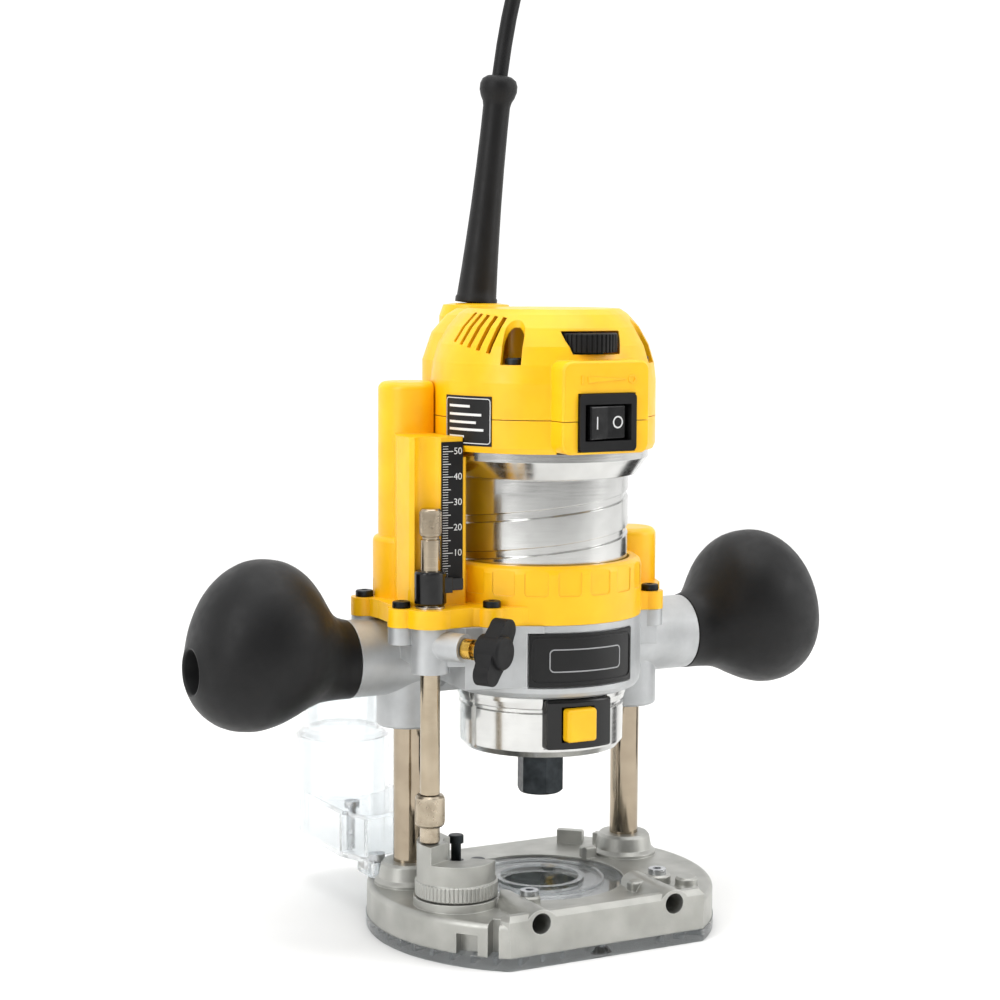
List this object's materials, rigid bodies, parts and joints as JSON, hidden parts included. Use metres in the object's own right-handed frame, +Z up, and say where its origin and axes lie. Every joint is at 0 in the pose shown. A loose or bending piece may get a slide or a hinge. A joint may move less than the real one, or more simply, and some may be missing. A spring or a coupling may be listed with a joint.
{
  "type": "plunge router",
  "caption": "Compact electric plunge router: cylindrical motor in a sprung carriage on two posts, ball handles, stop turret, depth rod, clear dust hood and coiled mains cord.",
  "frame": {"origin": "the motor's axis at the underside of the clear sub-base, in the plane it rests on", "axes": "+Z up along the spindle, +X to the right-hand handle, +Y to the back where the cord leaves; the flat front faces -Y"},
  "size_m": [0.5486, 0.1687, 0.4768],
  "materials": {
    "clear_sub_base": "clear polycarbonate, moulded",
    "zinc_steel": "zinc plated",
    "base_alloy": "die cast, satin",
    "post_steel": "ground and hard chromed",
    "clear_dust_parts": "clear polycarbonate, moulded",
    "brass": "turned",
    "dark_steel": "black oxide",
    "cord_rubber": "matt rubber sheath",
    "plug_black": "moulded rubber",
    "turret_alloy": "die cast, knurled",
    "carriage_alloy": "die cast, silver paint",
    "badge_black": "satin",
    "bronze": "sintered",
    "yellow_cover": "moulded, satin",
    "yellow_cap": "moulded, satin",
    "scale_black": "printed strip",
    "black_screw": "black oxide",
    "handle_rubber": "soft matt rubber over a hard core",
    "spring_steel": "wire",
    "turned_aluminium": "turned, bright",
    "label_black": "printed",
    "switch_black": "moulded",
    "board_green": "circuit board",
    "bearing_steel": "ground",
    "lamination_steel": "stacked sheet",
    "copper": "enamelled wire",
    "holder_black": "moulded",
    "carbon": "pressed carbon",
    "bezel_black": "moulded, gloss",
    "boot_rubber": "moulded rubber",
    "rod_steel": "ground",
    "pointer_black": "moulded",
    "knurled_steel": "knurled",
    "knob_black": "moulded",
    "lever_black": "moulded",
    "rocker_black": "moulded",
    "dial_black": "ribbed",
    "button_yellow": "moulded",
    "spindle_steel": "ground",
    "nut_black": "black oxide"
  },
  "bodies": {
    "base": {"sub_base": "clear_sub_base", "sub_base_screws": "zinc_steel", "base_casting": "base_alloy", "fence_clamp_screws": "zinc_steel", "guide_post_left": "post_steel", "guide_post_right": "post_steel", "dust_cover": "clear_dust_parts", "insert_screws": "brass", "dust_hood": "clear_dust_parts", "hood_screws": "dark_steel", "turret_pivot_screw": "zinc_steel", "cord_coil": "cord_rubber", "mains_plug": "plug_black"},
    "turret": {"stop_turret": "turret_alloy", "turret_stop_screws": "dark_steel"},
    "carriage": {"carriage_casting": "carriage_alloy", "badge_plate": "badge_black", "post_bushings": "bronze", "collar_cover": "yellow_cover", "depth_scale": "scale_black", "cover_screws": "black_screw", "handle_left": "handle_rubber", "handle_right": "handle_rubber", "handle_bolts": "dark_steel", "spring_left": "spring_steel", "spring_right": "spring_steel", "clamp_bolt": "zinc_steel", "motor_can": "turned_aluminium", "cap_upper": "yellow_cap", "cap_lower": "yellow_cap", "info_plate": "label_black", "switch_body": "switch_black", "speed_board": "board_green", "lower_bearing": "bearing_steel", "upper_bearing": "bearing_steel", "stator_core": "lamination_steel", "stator_windings": "copper", "brush_holder_ring": "holder_black", "carbon_brushes": "carbon", "lock_bezel": "bezel_black", "pointer_washer": "zinc_steel", "strain_relief": "boot_rubber", "cord_lead": "cord_rubber"},
    "depth_rod": {"depth_rod": "rod_steel"},
    "pointer": {"rod_pointer": "pointer_black"},
    "adjuster": {"fine_adjuster": "knurled_steel"},
    "clamp_knob": {"clamp_knob": "knob_black", "clamp_screw": "brass"},
    "plunge_lock": {"plunge_lock_lever": "lever_black"},
    "motor_clamp": {"motor_clamp_lever": "lever_black"},
    "rocker": {"rocker": "rocker_black"},
    "dial": {"speed_dial": "dial_black"},
    "lock_button": {"lock_button": "button_yellow", "lock_pin": "zinc_steel"},
    "spindle": {"armature_shaft": "spindle_steel", "wound_rotor": "lamination_steel", "commutator": "copper", "cooling_fan": "holder_black", "collet": "spindle_steel", "collet_nut": "nut_black"}
  },
  "joints": [
    {"name": "plunge_slide", "type": "slide", "parent": "base", "child": "carriage", "axis": [0, 0, -1], "range_m": [0, 0.055], "stiffness_N_per_m": 900, "springref_m": -0.045, "deforming": ["spring_left", "spring_right", "cord_lead"]},
    {"name": "depth_rod_slide", "type": "slide", "parent": "carriage", "child": "depth_rod", "axis": [0, 0, 1], "range_m": [0, 0.055]},
    {"name": "pointer_slide", "type": "slide", "parent": "depth_rod", "child": "pointer", "axis": [0, 0, 1], "range_m": [0, 0.012]},
    {"name": "adjuster_turn", "type": "hinge", "parent": "depth_rod", "child": "adjuster", "pos_m": [-0.0587, -0.0173, 0.05], "axis": [0, 0, 1], "continuous": true},
    {"name": "turret_turn", "type": "hinge", "parent": "base", "child": "turret", "pos_m": [-0.0473, -0.0178, 0.03], "axis": [0, 0, 1], "continuous": true},
    {"name": "clamp_knob_turn", "type": "hinge", "parent": "carriage", "child": "clamp_knob", "pos_m": [-0.0587, -0.0173, 0.1212], "axis": [0.479, -0.8778, 0], "continuous": true},
    {"name": "plunge_lock_turn", "type": "hinge", "parent": "carriage", "child": "plunge_lock", "pos_m": [-0.051, 0.034, 0.106], "axis": [0, 1, 0], "range_deg": [0, 30], "stiffness_Nm_per_rad": 0.6},
    {"name": "motor_clamp_turn", "type": "hinge", "parent": "carriage", "child": "motor_clamp", "pos_m": [0, 0.044, 0.114], "axis": [1, 0, 0], "range_deg": [0, 70]},
    {"name": "rocker_turn", "type": "hinge", "parent": "carriage", "child": "rocker", "pos_m": [0, -0.0463, 0.2075], "axis": [0, 0, 1], "range_deg": [-10, 0]},
    {"name": "dial_turn", "type": "hinge", "parent": "carriage", "child": "dial", "pos_m": [0, -0.0332, 0.2375], "axis": [0, 0, 1], "range_deg": [0, 290]},
    {"name": "lock_button_slide", "type": "slide", "parent": "carriage", "child": "lock_button", "axis": [0, 1, 0], "range_m": [0, 0.0035], "stiffness_N_per_m": 1200},
    {"name": "spindle_turn", "type": "hinge", "parent": "carriage", "child": "spindle", "pos_m": [0, 0, 0.12], "axis": [0, 0, 1], "continuous": true}
  ],
  "couplings": [
    {"joint": "depth_rod_slide", "follows": "plunge_slide", "ratio": 1}
  ]
}
